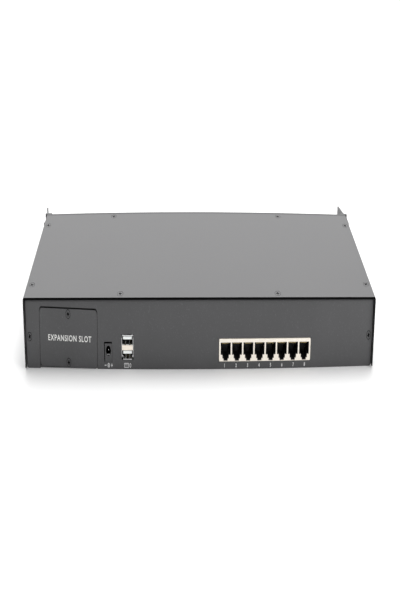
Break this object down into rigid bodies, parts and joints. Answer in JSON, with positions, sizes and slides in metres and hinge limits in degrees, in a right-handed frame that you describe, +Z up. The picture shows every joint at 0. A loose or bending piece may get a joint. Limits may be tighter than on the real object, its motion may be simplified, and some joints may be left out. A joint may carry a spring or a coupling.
{
  "type": "kvm switch",
  "caption": "Rack-mount KVM switch: a low, wide steel box with select buttons on the front and a row of network, USB and power sockets on the back.",
  "frame": {"origin": "middle of the footprint, mounting plates included, on the underside", "axes": "+Z up, X across the unit, -Y towards the buttons on the front, +Y towards the sockets at the back"},
  "size_m": [0.4426, 0.205, 0.0443],
  "materials": {
    "case_paint": "satin",
    "cover_paint": "satin",
    "front_plastic": "matte",
    "black_screw": "satin",
    "steel": "brushed",
    "bright_steel": "polished",
    "gold_contact": "polished",
    "cream_plastic": "satin",
    "black_plastic": "matte",
    "blue_plastic": "satin",
    "button_plastic": "satin",
    "green_lamp": "gloss",
    "amber_lamp": "gloss",
    "board": "satin",
    "chip": "matte",
    "aluminium": "satin",
    "capacitor_sleeve": "gloss",
    "ribbon_grey": "matte"
  },
  "bodies": {
    "case": {"chassis_base": "case_paint", "rear_panel": "case_paint", "top_cover": "cover_paint", "front_panel": "front_plastic", "front_panel_screws": "black_screw", "cover_screws": "black_screw", "rear_end_screws": "black_screw", "option_plate": "case_paint", "option_frame": "case_paint", "option_plate_screws": "black_screw", "bracket_left": "cover_paint", "bracket_right": "cover_paint", "bracket_screws": "black_screw", "main_board": "board", "board_standoffs": "steel", "board_screws": "steel", "port_housing": "cream_plastic", "port_carriers": "black_plastic", "port_contacts": "gold_contact", "usb_shell": "bright_steel", "usb_body": "black_plastic", "usb_insulator": "cream_plastic", "usb_springs": "bright_steel", "usb_contacts": "gold_contact", "power_jack_body": "black_plastic", "power_jack_pin": "bright_steel", "power_jack_spring": "bright_steel", "button_board": "board", "button_board_spacers": "steel", "button_board_screws": "steel", "switch_bodies": "black_plastic", "online_lamps": "green_lamp", "selected_lamps": "amber_lamp", "monitor_shell": "bright_steel", "monitor_insulator": "blue_plastic", "monitor_contacts": "gold_contact", "monitor_jackscrews": "steel", "processor": "chip", "heat_sink": "aluminium", "port_chips": "chip", "memory_chips": "chip", "capacitors": "capacitor_sleeve", "crystal": "steel", "ribbon_cable": "ribbon_grey", "ribbon_headers": "black_plastic", "option_connector": "black_plastic"},
    "button_1": {"select_button_1": "button_plastic"},
    "button_2": {"select_button_2": "button_plastic"},
    "button_3": {"select_button_3": "button_plastic"},
    "button_4": {"select_button_4": "button_plastic"},
    "button_5": {"select_button_5": "button_plastic"},
    "button_6": {"select_button_6": "button_plastic"},
    "button_7": {"select_button_7": "button_plastic"},
    "button_8": {"select_button_8": "button_plastic"}
  },
  "joints": [
    {"name": "press_1", "type": "slide", "parent": "case", "child": "button_1", "axis": [0, 1, 0], "range_m": [0, 0.0005], "stiffness_N_per_m": 1500, "springref_m": -0.0003},
    {"name": "press_2", "type": "slide", "parent": "case", "child": "button_2", "axis": [0, 1, 0], "range_m": [0, 0.0005], "stiffness_N_per_m": 1500, "springref_m": -0.0003},
    {"name": "press_3", "type": "slide", "parent": "case", "child": "button_3", "axis": [0, 1, 0], "range_m": [0, 0.0005], "stiffness_N_per_m": 1500, "springref_m": -0.0003},
    {"name": "press_4", "type": "slide", "parent": "case", "child": "button_4", "axis": [0, 1, 0], "range_m": [0, 0.0005], "stiffness_N_per_m": 1500, "springref_m": -0.0003},
    {"name": "press_5", "type": "slide", "parent": "case", "child": "button_5", "axis": [0, 1, 0], "range_m": [0, 0.0005], "stiffness_N_per_m": 1500, "springref_m": -0.0003},
    {"name": "press_6", "type": "slide", "parent": "case", "child": "button_6", "axis": [0, 1, 0], "range_m": [0, 0.0005], "stiffness_N_per_m": 1500, "springref_m": -0.0003},
    {"name": "press_7", "type": "slide", "parent": "case", "child": "button_7", "axis": [0, 1, 0], "range_m": [0, 0.0005], "stiffness_N_per_m": 1500, "springref_m": -0.0003},
    {"name": "press_8", "type": "slide", "parent": "case", "child": "button_8", "axis": [0, 1, 0], "range_m": [0, 0.0005], "stiffness_N_per_m": 1500, "springref_m": -0.0003}
  ]
}
